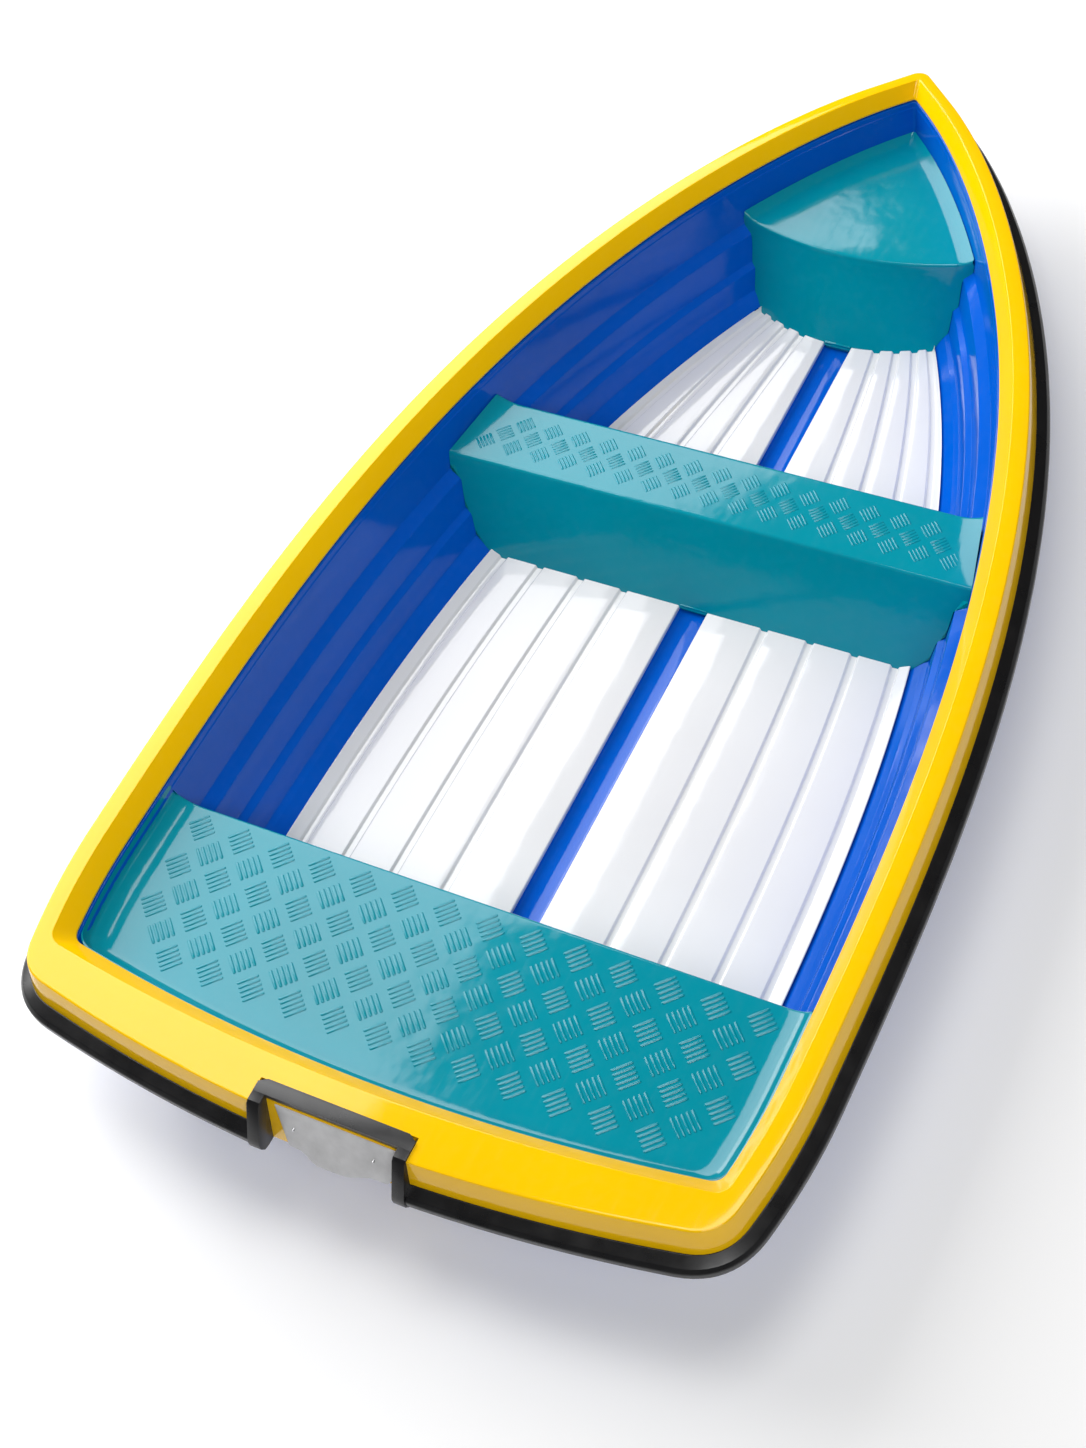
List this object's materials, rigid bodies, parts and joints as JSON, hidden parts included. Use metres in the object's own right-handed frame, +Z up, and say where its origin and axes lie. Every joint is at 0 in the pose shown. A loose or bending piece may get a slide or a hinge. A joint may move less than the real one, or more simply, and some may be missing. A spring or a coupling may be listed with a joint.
{
  "type": "rowing and tender dinghy",
  "caption": "Small moulded dinghy with a lapped hull, yellow gunwale, black rub rail, planked floor, box seats and a stern pad for an outboard motor.",
  "frame": {"origin": "under the middle of the boat's overall length and beam, on the surface that the keel strip and bilge runners stand on", "axes": "+X forward to the bow, +Y to port, +Z up"},
  "size_m": [2.457, 1.3518, 0.304],
  "materials": {
    "hull_gelcoat": "glossy blue moulded gelcoat",
    "gunwale_gelcoat": "glossy yellow moulded gelcoat",
    "seat_gelcoat": "glossy teal moulded gelcoat, raised tread pattern on two seats",
    "floor_gelcoat": "glossy white moulded gelcoat",
    "rail_rubber": "black extruded rubber, satin",
    "black_plastic": "black moulded plastic",
    "pad_plastic": "light grey moulded plastic, satin",
    "plug_plastic": "white moulded plastic",
    "block_plastic": "grey moulded plastic",
    "seal_rubber": "black rubber",
    "core_foam": "closed-cell foam",
    "plywood": "marine plywood",
    "steel": "stainless steel"
  },
  "bodies": {
    "boat": {"hull_shell": "hull_gelcoat", "keel_strip": "black_plastic", "keel_screws": "steel", "bilge_runner_port": "black_plastic", "bilge_runner_starboard": "black_plastic", "gunwale_cap": "gunwale_gelcoat", "gunwale_core": "core_foam", "gunwale_screws": "steel", "rub_rail_port": "rail_rubber", "rub_rail_starboard": "rail_rubber", "notch_frame": "rail_rubber", "motor_pad": "pad_plastic", "pad_screws": "steel", "transom_core": "plywood", "floor_port": "floor_gelcoat", "floor_starboard": "floor_gelcoat", "stern_seat": "seat_gelcoat", "mid_thwart": "seat_gelcoat", "bow_seat": "seat_gelcoat", "stern_foam": "core_foam", "thwart_foam": "core_foam", "bow_foam": "core_foam", "stem_block": "block_plastic", "bow_eye": "steel", "bow_eye_washer": "steel", "bow_eye_nut": "steel", "drain_bush": "black_plastic", "drain_nut": "black_plastic", "drain_seal": "seal_rubber"},
    "drain_plug_body": {"drain_plug": "plug_plastic"}
  },
  "joints": [
    {"name": "drain_plug_turn", "type": "hinge", "parent": "boat", "child": "drain_plug_body", "pos_m": [-1.14, -0.09, 0.061], "axis": [-1, 0, 0], "range_deg": [0, 90]}
  ]
}
